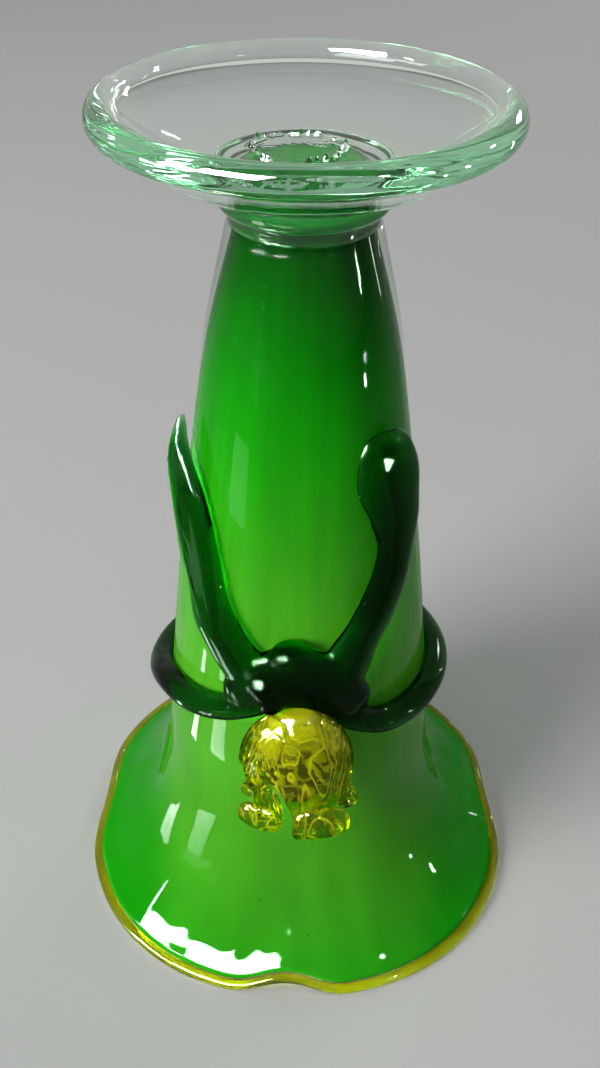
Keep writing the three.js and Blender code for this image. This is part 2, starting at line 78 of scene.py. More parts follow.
# Stage: a plain pale floor under a pale room. The floor is a disc that the vase's mouth rests on.
FLOOR_RADIUS = 4.0
FLOOR_COLOUR = (0.52, 0.52, 0.511, 1)
ROOM_COLOUR = (0.60, 0.59, 0.57, 1)
ROOM_LIGHT = (0.93, 0.96, 1.0, 1)
ROOM_STRENGTH = 0.15


def add_node(tree, kind, place=(0, 0), **settings):
    """Adds a shader node and sets its properties, or its inputs where a name isn't a property."""
    node = tree.nodes.new(kind)
    node.location = place
    for name, value in settings.items():
        if hasattr(node, name):
            setattr(node, name, value)
        else:
            node.inputs[name.replace("_", " ")].default_value = value
    return node


def new_material(name):
    """An empty node material with its output node."""
    material = bpy.data.materials.new(name)
    material.use_nodes = True
    material.node_tree.nodes.clear()
    output = add_node(material.node_tree, "ShaderNodeOutputMaterial", (600, 0))
    return material, material.node_tree, output


bpy.ops.mesh.primitive_circle_add(vertices=96, radius=FLOOR_RADIUS, fill_type="NGON")
floor = bpy.context.object
floor.name = "floor"
floor_paint, tree, output = new_material("floor_paint")
paint = add_node(tree, "ShaderNodeBsdfPrincipled", (300, 0), Roughness=0.55)
paint.inputs["Base Color"].default_value = FLOOR_COLOUR
paint.inputs["Specular IOR Level"].default_value = 0.0
tree.links.new(paint.outputs[0], output.inputs["Surface"])
floor.data.materials.append(floor_paint)

# The room shows in one colour to the camera, in gloss and through glass, and lights matt faces weakly.
world = bpy.data.worlds.new("room")
scene.world = world
world.use_nodes = True
tree = world.node_tree
tree.nodes.clear()
output = add_node(tree, "ShaderNodeOutputWorld", (600, 0))
seen = add_node(tree, "ShaderNodeBackground", (0, 100), Strength=1.0)
seen.inputs["Color"].default_value = ROOM_COLOUR
lit = add_node(tree, "ShaderNodeBackground", (0, -100), Strength=ROOM_STRENGTH)
lit.inputs["Color"].default_value = ROOM_LIGHT
path = add_node(tree, "ShaderNodeLightPath", (-400, 300))
either = add_node(tree, "ShaderNodeMath", (-200, 300), operation="MAXIMUM")
any_of = add_node(tree, "ShaderNodeMath", (0, 300), operation="MAXIMUM")
blend = add_node(tree, "ShaderNodeMixShader", (300, 0))
tree.links.new(path.outputs["Is Camera Ray"], either.inputs[0])
tree.links.new(path.outputs["Is Transmission Ray"], either.inputs[1])
tree.links.new(either.outputs[0], any_of.inputs[0])
tree.links.new(path.outputs["Is Glossy Ray"], any_of.inputs[1])
tree.links.new(any_of.outputs[0], blend.inputs[0])
tree.links.new(lit.outputs[0], blend.inputs[1])
tree.links.new(seen.outputs[0], blend.inputs[2])
tree.links.new(blend.outputs[0], output.inputs["Surface"])


def softbox(name, place, aim, size, power, shows, bounces=1024):
    """A rectangular lamp at place that shines towards aim, both in metres.

    A lamp that shows is seen in gloss and through glass alone, after at most so many bounces. The
    others light matt faces alone. No lamp is seen by the camera itself.
    """
    lamp = bpy.data.lights.new(name, "AREA")
    lamp.shape = "RECTANGLE"
    lamp.size, lamp.size_y = size
    lamp.energy = power
    lamp.cycles.max_bounces = bounces
    lamp_object = bpy.data.objects.new(name, lamp)
    direction = np.array(aim) - np.array(place)
    away = -direction / np.linalg.norm(direction)
    side = np.cross((0.0, 0.0, 1.0), away)
    side /= np.linalg.norm(side)
    up = np.cross(away, side)
    lamp_object.matrix_world = Matrix(
        [[side[k], up[k], away[k], place[k]] for k in range(3)] + [[0, 0, 0, 1]]
    )
    lamp_object.visible_camera = False
    lamp_object.visible_diffuse = not shows
    lamp_object.visible_glossy = shows
    lamp_object.visible_transmission = shows
    scene.collection.objects.link(lamp_object)


# Lamps, as (name, place, aim, size, power). The first three light the scene and aren't reflected;
# the rest are seen in the glass only, as bright panes, glints and pale strips.
MIDDLE = (0.0, 0.0, 0.12)
for key in (
    ("key_left", (-2.20, -1.65, 1.22), MIDDLE, (1.5, 1.5), 108.0),
    ("key_top", (-0.15, -0.36, 2.60), MIDDLE, (1.6, 1.6), 15.6),
    ("key_back", (1.80, 2.40, 1.28), MIDDLE, (1.2, 1.2), 24.0),
):
    softbox(*key, shows=False)
softbox("pane_back", (0.62, 1.05, 0.62), MIDDLE, (0.24, 0.12), 4.0, shows=True)
for reflected in (
    ("pane_low", (-1.00, -0.42, 0.80), MIDDLE, (0.40, 0.36), 150.0),
    ("pane_edge", (-1.06, -0.30, 0.50), MIDDLE, (0.07, 0.34), 16.0),
    ("pane_high", (-0.56, -0.68, 0.94), MIDDLE, (0.60, 0.46), 290.0),
    ("pane_right", (1.15, -0.12, 0.22), MIDDLE, (0.06, 0.07), 4.4),
    ("strip_right", (1.00, 0.62, 0.12), MIDDLE, (0.03, 0.30), 1.0),
    ("glint_left", (-0.75, -0.80, 0.90), MIDDLE, (0.14, 0.12), 10.0),
    ("glint_right", (0.68, -0.72, 1.01), MIDDLE, (0.09, 0.11), 11.0),
    ("glint_side", (0.93, 0.414, 0.756), MIDDLE, (0.07, 0.05), 3.0),
    ("glint_low", (1.00, -0.33, 0.02), MIDDLE, (0.045, 0.045), 3.0),
    ("glint_front", (0.00, -1.20, 0.80), MIDDLE, (0.03, 0.03), 5.0),
    ("card_left", (-0.120, -0.068, 0.004), (-0.075, -0.0435, 0.2), (0.030, 0.10), 0.15),
    ("card_side", (-0.130, -0.014, 0.004), (-0.08, 0.0, 0.2), (0.012, 0.09), 0.07),
    ("card_far", (-0.36, -0.20, 0.004), (-0.26, -0.145, 0.2), (0.14, 0.16), 0.33),
    ("strip_left", (-0.60, -0.52, 0.13), MIDDLE, (0.008, 0.20), 0.08),
):
    softbox(*reflected, shows=True, bounces=1)


# Body outline, in millimetres: one smooth curve from the mouth's edge to the closed end at the
# foot. The mouth is ruffled by four dents between broad lobes; both fade out up the bell.
HEIGHT = 280.0
SEAT_GAP = 0.3
TRAIL_RADIUS = 1.8
MOUTH_RADIUS = 81.2
FALL = math.radians(30)
WALL_AT_MOUTH = 2.8
TRAIL_CENTRE = np.array([MOUTH_RADIUS - TRAIL_RADIUS, TRAIL_RADIUS])
MOUTH_EDGE = TRAIL_CENTRE + (TRAIL_RADIUS + SEAT_GAP) * np.array([-math.cos(FALL), math.sin(FALL)])
MOUTH_EDGE = MOUTH_EDGE + 0.5 * WALL_AT_MOUTH * np.array([math.sin(FALL), math.cos(FALL)])
OUTLINE_TOP = 249.2
OUTLINE = [
    MOUTH_EDGE, (71.5, 8.6), (57.2, 24.5), (49.1, 45), (45.6, 80),
    (38.9, 142), (28.4, 214), (20.6, OUTLINE_TOP),
]
BODY_END = 251.2
# Each dent as its direction and half its width in degrees, and its depth.
DENTS = [(6, 24, 3.8), (90, 15.5, 3.2), (175, 23, 3.8), (268, 15.5, 3.2)]
DENT_RISE = 3.4
LOBE_SWELL = 1.2
RUFFLE_HEIGHT = 58.0


def smoothstep(value, low, high):
    """Rises from 0 at low to 1 at high along 3t^2 - 2t^3."""
    share = np.clip((value - low) / (high - low), 0, 1)
    return share * share * (3 - 2 * share)


def curve_through(points, count):
    """Centripetal Catmull-Rom curve through the points, resampled to even steps along its length.

    Each span is the blend of two parabolas through neighbouring points, with knots spaced by the
    square root of the distance between them.
    """
    given = np.asarray(points, float)
    given = np.vstack([2 * given[0] - given[1], given, 2 * given[-1] - given[-2]])
    p0, p1, p2, p3 = (given[k:len(given) - 3 + k, None, :] for k in range(4))
    t1 = np.sqrt(np.linalg.norm(p1 - p0, axis=2, keepdims=True))
    t2 = t1 + np.sqrt(np.linalg.norm(p2 - p1, axis=2, keepdims=True))
    t3 = t2 + np.sqrt(np.linalg.norm(p3 - p2, axis=2, keepdims=True))
    t = t1 + (t2 - t1) * np.linspace(0, 1, 200, endpoint=False)[None, :, None]
    a1 = (t1 - t) / t1 * p0 + t / t1 * p1
    a2 = (t2 - t) / (t2 - t1) * p1 + (t - t1) / (t2 - t1) * p2
    a3 = (t3 - t) / (t3 - t2) * p2 + (t - t2) / (t3 - t2) * p3
    b1 = (t2 - t) / t2 * a1 + t / t2 * a2
    b2 = (t3 - t) / (t3 - t1) * a2 + (t - t1) / (t3 - t1) * a3
    fine = ((t2 - t) / (t2 - t1) * b1 + (t - t1) / (t2 - t1) * b2).reshape(-1, given.shape[1])
    fine = np.vstack([fine, given[-2]])
    run = np.append(0, np.cumsum(np.linalg.norm(np.diff(fine, axis=0), axis=1)))
    even = np.linspace(0, run[-1], count)
    return np.stack([np.interp(even, run, fine[:, k]) for k in range(fine.shape[1])], axis=1)


outline = curve_through(OUTLINE, 300)


def body_radius(height):
    """Radius of the glass at a height above the mouth, before the ruffle."""
    return np.interp(height, outline[:, 1], outline[:, 0])


def ruffle(points):
    """Draws points near the mouth in and up at each dent, and out at each lobe between them.

    A dent is a raised cosine of the angle and the lobes are the cosine of four times the angle, all
    fading up the body by a smoothstep of the height.
    """
    x, y, z = np.moveaxis(points, -1, 0)
    turn = np.arctan2(y, x)
    share = 1 - smoothstep(z, 0, RUFFLE_HEIGHT)
    inwards = LOBE_SWELL * np.cos(4 * turn)
    rise = np.zeros_like(z)
    for centre, half, depth in DENTS:
        away = np.abs((np.degrees(turn) - centre + 180) % 360 - 180)
        dent = np.where(away < half, 0.5 + 0.5 * np.cos(math.pi * away / half), 0)
        inwards = inwards + depth * dent
        rise = rise + DENT_RISE * dent
    radius = np.hypot(x, y)
    drawn = np.where(radius > 0.01, radius - share * inwards, radius)
    return np.stack([drawn * np.cos(turn), drawn * np.sin(turn), z + share * rise], axis=-1)


def revolve(profile, sides):
    """Carries a profile of (radius, height) points round the axis: rows are points, columns angles."""
    turn = np.linspace(0, 2 * math.pi, sides, endpoint=False)
    radius, height = np.asarray(profile, float).T
    return np.stack([
        radius[:, None] * np.cos(turn),
        radius[:, None] * np.sin(turn),
        np.repeat(height[:, None], sides, axis=1),
    ], axis=-1)


def skin(name, grid, ring=False):
    """Makes a closed object from a grid of points in millimetres whose columns run round a loop.

    A first or last row that is one point becomes a pole. With ring, the last row joins the first.
    """
    rows, sides = grid.shape[:2]
    row = np.arange(rows if ring else rows - 1)[:, None]
    side = np.arange(sides)[None, :]
    here, above = row * sides, (row + 1) % rows * sides
    after = (side + 1) % sides
    faces = np.stack([here + side, here + after, above + after, above + side], axis=-1)
    mesh = bpy.data.meshes.new(name)
    mesh.from_pydata((grid.reshape(-1, 3) * MM).tolist(), [], faces.reshape(-1, 4).tolist())
    tidy = bmesh.new()
    tidy.from_mesh(mesh)
    bmesh.ops.remove_doubles(tidy, verts=tidy.verts, dist=1e-7)
    bmesh.ops.recalc_face_normals(tidy, faces=tidy.faces)
    tidy.to_mesh(mesh)
    tidy.free()
    mesh.shade_smooth()
    piece = bpy.data.objects.new(name, mesh)
    scene.collection.objects.link(piece)
    return piece


def finish_piece(piece, material, slot, *nodes):
    """Gives a piece its glass, ties it to the vase and hides the solids that it stands for."""
    piece.data.materials.clear()
    piece.data.materials.append(material)
    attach(piece, "root")
    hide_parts(*nodes)


# The wall's layers are measured inwards from the outline, and its closed end has a turned corner.
CLEAR_AT_MOUTH = 0.5
CLEAR_SWELL = 1.7
CLEAR_SWELL_HEIGHT = 200
GREEN_AT_MOUTH = 1
GREEN_SWELL = 1.6
CORNER = 3.0


def wall_face(depth, end, steps):
    """Profile of one face of the wall: the outline moved inwards by depth, then on to the axis.

    The corner between the two is a quarter circle.
    """
    line = curve_through(outline, steps)
    along = np.gradient(line, axis=0)
    along /= np.linalg.norm(along, axis=1, keepdims=True)
    below = depth(line[:, 1])[:, None]
    face = line + below * np.stack([-along[:, 1], along[:, 0]], axis=1)
    face = face[face[:, 1] < end - CORNER]
    inset = face[-1, 0] - CORNER
    bend = np.linspace(0, math.pi / 2, 9)
    turned = np.stack([inset + CORNER * np.cos(bend), end - CORNER + CORNER * np.sin(bend)], axis=1)
    disc = np.stack([np.linspace(inset, 0, 10)[1:], np.full(9, end)], axis=1)
    return np.vstack([face, turned, disc])


def clear_depth(height):
    """Thickness of the clear outer layer, thin at the mouth and thick towards the foot."""
    return CLEAR_AT_MOUTH + CLEAR_SWELL * smoothstep(height, CLEAR_SWELL_HEIGHT, OUTLINE_TOP)


def green_depth(height):
    """Depth of the green layer's inner face. The green grows evenly thicker towards the foot."""
    green = GREEN_AT_MOUTH + GREEN_SWELL * height / OUTLINE_TOP
    return clear_depth(height) + SEAT_GAP + green


# Opal lining: a skin of milky glass blown inside the green. It makes the green look opaque from
# outside, and is itself seen only in the mouth.
OPAL_COLOUR = (0.72, 0.84, 0.62, 1)
OPAL_THIN_COLOUR = (0.60, 0.78, 0.50, 1)
LINING_THICKNESS = 0.7
CLEAR_END = 1.5
GREEN_END = 6
LINING_END = 1.2
BODY_SIDES = 400
MIX_FACTOR, MIX_FIRST, MIX_SECOND, MIX_RESULT = 0, 6, 7, 2


def colour_mix(tree, place, second, first=(1, 1, 1, 1), blend="MIX"):
    """A node that mixes two colours; its sockets for colours have the numbers named above."""
    node = add_node(tree, "ShaderNodeMix", place, data_type="RGBA", blend_type=blend)
    node.inputs[MIX_FIRST].default_value = first
    node.inputs[MIX_SECOND].default_value = second
    return node


def opal_glass():
    """Milky glass: pale, slightly green, with soft clouds where the milk is thinner."""
    material, tree, output = new_material("opal_glass")
    place = add_node(tree, "ShaderNodeTexCoord", (-900, 0))
    clouds = add_node(tree, "ShaderNodeTexNoise", (-600, 0), Scale=45.0, Detail=3.0)
    tone = colour_mix(tree, (-300, 0), OPAL_THIN_COLOUR, OPAL_COLOUR)
    glass = add_node(tree, "ShaderNodeBsdfPrincipled", (200, 0), Roughness=0.14)
    tree.links.new(place.outputs["Object"], clouds.inputs["Vector"])
    tree.links.new(clouds.outputs["Fac"], tone.inputs[MIX_FACTOR])
    tree.links.new(tone.outputs[MIX_RESULT], glass.inputs["Base Color"])
    tree.links.new(glass.outputs[0], output.inputs["Surface"])
    return material


def lining_outer(height):
    """Depth of the lining's outer face."""
    return green_depth(height) + SEAT_GAP


def lining_inner(height):
    """Depth of the lining's inner face."""
    return lining_outer(height) + LINING_THICKNESS


lining_end = BODY_END - CLEAR_END - SEAT_GAP - GREEN_END - SEAT_GAP
outer = wall_face(lining_outer, lining_end, 70)
inner = wall_face(lining_inner, lining_end - LINING_END, 70)
lining = skin("opal_lining_glass", ruffle(revolve(np.vstack([outer[::-1], inner]), BODY_SIDES)))
finish_piece(lining, opal_glass(), "opal_glass", "opal_lining")


# Green casing: the coloured gather. It is thick and dark at the closed end, where it was gathered,
# and blown thin over the opal towards the mouth, where it turns a light leaf green.
GREEN_TOP = BODY_END + 2.6
GREEN_PLUG = 7
GREEN_COLOUR_TOP = 0.2545
# Painted shade: the green is multiplied by this colour in the two side lobes near the mouth.
LOBE_SHADE_COLOUR = (0.26, 0.86, 0.32, 1)
SEED_COLOUR = (0.02, 0.10, 0.01, 1)
# Colours by the share of GREEN_COLOUR_TOP, in metres, from the mouth up.
GREEN_BY_HEIGHT = [
    (0.000, (0.010, 0.330, 0.004)),
    (0.050, (0.033, 0.305, 0.008)),
    (0.130, (0.050, 0.288, 0.010)),
    (0.380, (0.072, 0.330, 0.014)),
    (0.540, (0.054, 0.315, 0.011)),
    (0.680, (0.012, 0.290, 0.003)),
    (0.800, (0.002, 0.230, 0.001)),
    (0.900, (0.001, 0.130, 0.001)),
    (0.955, (0.001, 0.060, 0.001)),
    (0.975, (0.001, 0.045, 0.002)),
    (0.990, (0.001, 0.030, 0.003)),
    (0.996, (0.001, 0.130, 0.010)),
    (1.000, (0.001, 0.160, 0.012)),
]


def mapped(tree, place, start, stop, low=0.0, high=1.0, curve="SMOOTHSTEP"):
    """A node that maps the range from start to stop onto low to high, along the given curve."""
    return add_node(tree, "ShaderNodeMapRange", place, interpolation_type=curve,
                    From_Min=start, From_Max=stop, To_Min=low, To_Max=high)


def green_glass():
    """Green glass over opal: a ramp by height, drawn-out streaks, soft clouds and a few seeds.

    The streaks and waves run up the body: their noise is read at the direction from the axis, so it
    changes quickly round the vase and slowly along it. The green is darkened in the two side lobes
    near the mouth as painted shade.
    The gloss fades where the face turns away, and the waves are strong only near the mouth.
    """
    material, tree, output = new_material("green_glass")
    link = tree.links.new
    place = add_node(tree, "ShaderNodeTexCoord", (-1700, 0))
    apart = add_node(tree, "ShaderNodeSeparateXYZ", (-1500, 200))
    height = mapped(tree, (-1100, 200), 0.0, GREEN_COLOUR_TOP, curve="LINEAR")
    ramp = add_node(tree, "ShaderNodeValToRGB", (-900, 200))
    stops = ramp.color_ramp
    stops.interpolation = "B_SPLINE"
    while len(stops.elements) < len(GREEN_BY_HEIGHT):
        stops.elements.new(0.5)
    for stop, (position, colour) in zip(stops.elements, GREEN_BY_HEIGHT):
        stop.position = position
        stop.color = (*colour, 1)
    level = add_node(tree, "ShaderNodeVectorMath", (-1500, -300), operation="MULTIPLY")
    level.inputs[1].default_value = (1, 1, 0)
    heading = add_node(tree, "ShaderNodeVectorMath", (-1300, -300), operation="NORMALIZE")
    upward = add_node(tree, "ShaderNodeVectorMath", (-1300, -500), operation="MULTIPLY")
    upward.inputs[1].default_value = (0, 0, 2.2)
    drawn = add_node(tree, "ShaderNodeVectorMath", (-1100, -400), operation="ADD")
    streaks = add_node(tree, "ShaderNodeTexNoise", (-900, -200), Scale=6.0, Detail=4.0, Roughness=0.6)
    clouds = add_node(tree, "ShaderNodeTexNoise", (-900, -500), Scale=26.0, Detail=2.0)
    seeds = add_node(tree, "ShaderNodeTexVoronoi", (-900, -800), Scale=70.0)
    few_seeds = add_node(tree, "ShaderNodeMath", (-700, -800), operation="LESS_THAN")
    few_seeds.inputs[1].default_value = 0.026
    streak_tone = mapped(tree, (-700, -200), 0.3, 0.7, -0.13, 0.13, "LINEAR")
    cloud_tone = mapped(tree, (-700, -500), 0.3, 0.7, 0.90, 1.10, "LINEAR")
    high_up = mapped(tree, (-700, 0), 0.03, 0.12, 0.25)
    streaked = add_node(tree, "ShaderNodeMath", (-500, -100), operation="MULTIPLY")
    both = add_node(tree, "ShaderNodeMath", (-300, -300), operation="ADD")
    shaded = add_node(tree, "ShaderNodeVectorMath", (-200, 100), operation="SCALE")
    sideways = add_node(tree, "ShaderNodeMath", (-1300, 600), operation="ABSOLUTE")
    # Painted shade: a mask of the two side lobes near the mouth darkens the green there.
    to_side = mapped(tree, (-1100, 600), 0.040, 0.056)
    at_rim = mapped(tree, (-1100, 900), 0.075, 0.035)
    lobe_shade = add_node(tree, "ShaderNodeMath", (-900, 700), operation="MULTIPLY")
    lobe_shaded = colour_mix(tree, (-600, 400), LOBE_SHADE_COLOUR, blend="MULTIPLY")
    seeded = colour_mix(tree, (-100, 0), SEED_COLOUR)
    glass = add_node(tree, "ShaderNodeBsdfPrincipled", (300, 0), Roughness=0.02)
    glass.inputs["Specular Tint"].default_value = (0.5, 1, 0.5, 1)
    edge = add_node(tree, "ShaderNodeLayerWeight", (-300, 900), Blend=0.5)
    gloss = mapped(tree, (-100, 900), 0.80, 0.94, 0.085, 0.0)
    waves = add_node(tree, "ShaderNodeTexNoise", (-900, -1000), Scale=7.0, Detail=0.0)
    low_down = mapped(tree, (-900, -1250), 0.012, 0.045, 1.0, 0.10)
    wavy = add_node(tree, "ShaderNodeMath", (-500, -1000), operation="MULTIPLY")
    bump = add_node(tree, "ShaderNodeBump", (0, -400), Strength=1.0, Distance=0.0009)
    link(place.outputs["Object"], apart.inputs[0])
    link(place.outputs["Object"], level.inputs[0])
    link(place.outputs["Object"], upward.inputs[0])
    link(place.outputs["Object"], clouds.inputs["Vector"])
    link(place.outputs["Object"], seeds.inputs["Vector"])
    link(level.outputs[0], heading.inputs[0])
    link(heading.outputs[0], drawn.inputs[0])
    link(upward.outputs[0], drawn.inputs[1])
    link(drawn.outputs[0], streaks.inputs["Vector"])
    link(drawn.outputs[0], waves.inputs["Vector"])
    link(apart.outputs["Z"], height.inputs["Value"])
    link(apart.outputs["Z"], low_down.inputs["Value"])
    link(height.outputs[0], ramp.inputs[0])
    link(waves.outputs["Fac"], wavy.inputs[0])
    link(low_down.outputs[0], wavy.inputs[1])
    link(wavy.outputs[0], bump.inputs["Height"])
    link(bump.outputs[0], glass.inputs["Normal"])
    link(seeds.outputs["Distance"], few_seeds.inputs[0])
    link(streaks.outputs["Fac"], streak_tone.inputs["Value"])
    link(clouds.outputs["Fac"], cloud_tone.inputs["Value"])
    link(apart.outputs["Z"], high_up.inputs["Value"])
    link(streak_tone.outputs[0], streaked.inputs[0])
    link(high_up.outputs[0], streaked.inputs[1])
    link(streaked.outputs[0], both.inputs[0])
    link(cloud_tone.outputs[0], both.inputs[1])
    link(apart.outputs["X"], sideways.inputs[0])
    link(sideways.outputs[0], to_side.inputs["Value"])
    link(apart.outputs["Z"], at_rim.inputs["Value"])
    link(to_side.outputs[0], lobe_shade.inputs[0])
    link(at_rim.outputs[0], lobe_shade.inputs[1])
    link(lobe_shade.outputs[0], lobe_shaded.inputs[MIX_FACTOR])
    link(ramp.outputs["Color"], lobe_shaded.inputs[MIX_FIRST])
    link(lobe_shaded.outputs[MIX_RESULT], shaded.inputs[0])
    link(both.outputs[0], shaded.inputs["Scale"])
    link(shaded.outputs[0], seeded.inputs[MIX_FIRST])
    link(few_seeds.outputs[0], seeded.inputs[MIX_FACTOR])
    link(seeded.outputs[MIX_RESULT], glass.inputs["Base Color"])
    link(edge.outputs["Facing"], gloss.inputs["Value"])
    link(gloss.outputs[0], glass.inputs["Specular IOR Level"])
    link(glass.outputs[0], output.inputs["Surface"])
    return material


def green_outer(height):
    """Depth of the green's outer face, half a seat's gap under the clear layer."""
    return clear_depth(height) + 0.5 * SEAT_GAP


outer = wall_face(green_outer, GREEN_TOP, 170)
inner = wall_face(green_depth, GREEN_TOP - GREEN_PLUG, 40)
casing = skin("green_casing_glass", ruffle(revolve(np.vstack([outer[::-1], inner]), BODY_SIDES)))
finish_piece(casing, green_glass(), "green_glass", "green_casing")


# Clear casing: the last gather, a skin of clear glass over the green. It grows thick towards the
# foot, where it stands as a clear band outside the green.
PLUG_BOTTOM = 247.8
CLEAR_EDGE_COLOUR = (0.60, 0.68, 0.60, 1)


def casing_glass():
    """Thin clear glass: clear seen straight, mirror-like along its edges by Fresnel's law.

    Below the swell it is too thin to show by itself, and the green under it carries the gloss.
    """
    material, tree, output = new_material("casing_glass")
    link = tree.links.new
    place = add_node(tree, "ShaderNodeTexCoord", (-1100, 0))
    apart = add_node(tree, "ShaderNodeSeparateXYZ", (-900, 500))
    thick = mapped(tree, (-700, 500), 0.20, 0.24)
    edge = add_node(tree, "ShaderNodeLayerWeight", (-700, 200), Blend=0.25)
    edge_share = add_node(tree, "ShaderNodeMath", (-450, 200), operation="MULTIPLY")
    tint = colour_mix(tree, (-250, 200), CLEAR_EDGE_COLOUR)
    see_through = add_node(tree, "ShaderNodeBsdfTransparent", (0, 150))
    gloss = add_node(tree, "ShaderNodeBsdfGlossy", (0, -100), Roughness=0.01)
    fresnel = add_node(tree, "ShaderNodeFresnel", (-450, 700), IOR=1.13)
    side = add_node(tree, "ShaderNodeNewGeometry", (-450, 900))
    front = add_node(tree, "ShaderNodeMath", (-250, 900), operation="SUBTRACT")
    front.inputs[0].default_value = 1.0
    share = add_node(tree, "ShaderNodeMath", (-50, 700), operation="MULTIPLY")
    shown = add_node(tree, "ShaderNodeMath", (150, 600), operation="MULTIPLY")
    mixed = add_node(tree, "ShaderNodeMixShader", (350, 0))
    link(place.outputs["Object"], apart.inputs[0])
    link(apart.outputs["Z"], thick.inputs["Value"])
    link(edge.outputs["Facing"], edge_share.inputs[0])
    link(thick.outputs[0], edge_share.inputs[1])
    link(edge_share.outputs[0], tint.inputs[MIX_FACTOR])
    link(tint.outputs[MIX_RESULT], see_through.inputs["Color"])
    link(side.outputs["Backfacing"], front.inputs[1])
    link(fresnel.outputs[0], share.inputs[0])
    link(front.outputs[0], share.inputs[1])
    link(share.outputs[0], shown.inputs[0])
    link(thick.outputs[0], shown.inputs[1])
    link(shown.outputs[0], mixed.inputs[0])
    link(see_through.outputs[0], mixed.inputs[1])
    link(gloss.outputs[0], mixed.inputs[2])
    link(mixed.outputs[0], output.inputs["Surface"])
    return material


def clear_inner(height):
    """Depth of the clear layer's inner face, just outside the green."""
    return clear_depth(height) - 0.1


outer, inner = (wall_face(depth, BODY_END + 2, 110) for depth in (np.zeros_like, clear_inner))
outer, inner = (face[face[:, 1] < PLUG_BOTTOM] for face in (outer, inner))
wall = ruffle(revolve(np.vstack([outer[::-1], inner]), BODY_SIDES))
clear = skin("clear_casing_glass", wall, ring=True)
finish_piece(clear, casing_glass(), "clear_glass", "clear_casing")


# Rim trail: a cord of yellow glass laid round the ruffled mouth while both were hot. Its thickness
# wavers a little, as the glass was drawn on by hand.
def coloured_glass(name, colour, roughness, density, wave=0.0, bend=1.5, sheen=(1, 1, 1, 1)):
    """Solid coloured glass: light bends through it and is taken up in it by its thickness.

    colour is what passes, density how strongly the rest is taken up for each metre, bend the index
    of refraction and sheen the tint of what the surface reflects.
    """
    material, tree, output = new_material(name)
    glass = add_node(tree, "ShaderNodeBsdfPrincipled", (200, 0), Roughness=roughness, IOR=bend)
    glass.inputs["Transmission Weight"].default_value = 1.0
    glass.inputs["Base Color"].default_value = (1, 1, 1, 1)
    glass.inputs["Specular Tint"].default_value = sheen
    depth = add_node(tree, "ShaderNodeVolumeAbsorption", (200, -400), Density=density)
    depth.inputs["Color"].default_value = colour
    place = add_node(tree, "ShaderNodeTexCoord", (-700, -200))
    waves = add_node(tree, "ShaderNodeTexNoise", (-450, -200), Scale=140.0, Detail=2.0)
    bump = add_node(tree, "ShaderNodeBump", (-150, -200), Strength=wave, Distance=0.001)
    tree.links.new(place.outputs["Object"], waves.inputs["Vector"])
    tree.links.new(waves.outputs["Fac"], bump.inputs["Height"])
    tree.links.new(bump.outputs[0], glass.inputs["Normal"])
    tree.links.new(glass.outputs[0], output.inputs["Surface"])
    tree.links.new(depth.outputs[0], output.inputs["Volume"])
    return material


turn = np.linspace(0, 2 * math.pi, 480, endpoint=False)
around = np.linspace(0, 2 * math.pi, 24, endpoint=False)
cord = TRAIL_RADIUS * (1 - 0.06 * (1 + np.sin(7 * turn + 1) * np.cos(3 * turn)))[None, :]
radius = TRAIL_CENTRE[0] + cord * np.cos(around)[:, None]
height = TRAIL_CENTRE[1] + cord * np.sin(around)[:, None]
trail_grid = np.stack([radius * np.cos(turn), radius * np.sin(turn), height], axis=-1)
trail = skin("rim_trail_glass", ruffle(trail_grid), ring=True)
yellow_rim = coloured_glass("yellow_rim_glass", (0.82, 0.85, 0.02, 1), 0.03, 1100.0,
                             wave=0.1, bend=1.32, sheen=(0.9, 1, 0.4, 1))
finish_piece(trail, yellow_rim, "yellow_rim_glass", "rim_trail")


# Foot: a clear wafer on the closed end and a clear plate with a thick rolled edge, melted into one.
# A rough scar in the middle of the plate is where the iron was broken off.
FOOT_RADIUS = 55.7
LIP = 4.2
WAFER_RADIUS = 23.6
WAFER_THICKNESS = 6.4
WAFER_EDGE = 2.4
WAFER_BOTTOM = BODY_END + SEAT_GAP
WAFER_TOP = WAFER_BOTTOM + WAFER_THICKNESS
FOOT_BOTTOM = WAFER_TOP + SEAT_GAP
DISH = FOOT_BOTTOM + 7.2
DISH_RADIUS = 14.5
SCAR_SHIFT = 2.2


def arc(centre, radius, start, end, count):
    """Points of a circular arc, with its angles in degrees."""
    angle = np.radians(np.linspace(start, end, count))
    return np.asarray(centre) + radius * np.stack([np.cos(angle), np.sin(angle)], axis=1)


lip_centre = (FOOT_RADIUS - LIP, HEIGHT - LIP)
under = curve_through([(24.5, FOOT_BOTTOM + 0.2), (31.4, FOOT_BOTTOM + 1.8),
                       (38, FOOT_BOTTOM + 4.6), (50.6, 270.5), (52.9, 271.9)], 40)[:-1]
dish = curve_through([(lip_centre[0] + LIP * math.cos(math.radians(138)), 278.6),
                      (47.4, 276.9), (38, FOOT_BOTTOM + 11.6), (27.4, DISH + 1.3),
                      (DISH_RADIUS, DISH)], 50)
dish_flat = np.stack([np.linspace(DISH_RADIUS, 0, 60)[1:], np.full(59, DISH)], axis=1)
wafer_side = WAFER_RADIUS - WAFER_EDGE
wafer_edge_low = arc((wafer_side, WAFER_BOTTOM + WAFER_EDGE), WAFER_EDGE, -90, 0, 8)
wafer_edge_top = arc((wafer_side, WAFER_TOP - WAFER_EDGE + 0.8), WAFER_EDGE, 0, 55, 6)
plug_radius, shoulder_radius = body_radius([PLUG_BOTTOM, PLUG_BOTTOM + 1.2]) - 0.05
base = np.stack([np.linspace(0, plug_radius, 20), np.full(20, PLUG_BOTTOM)], axis=1)
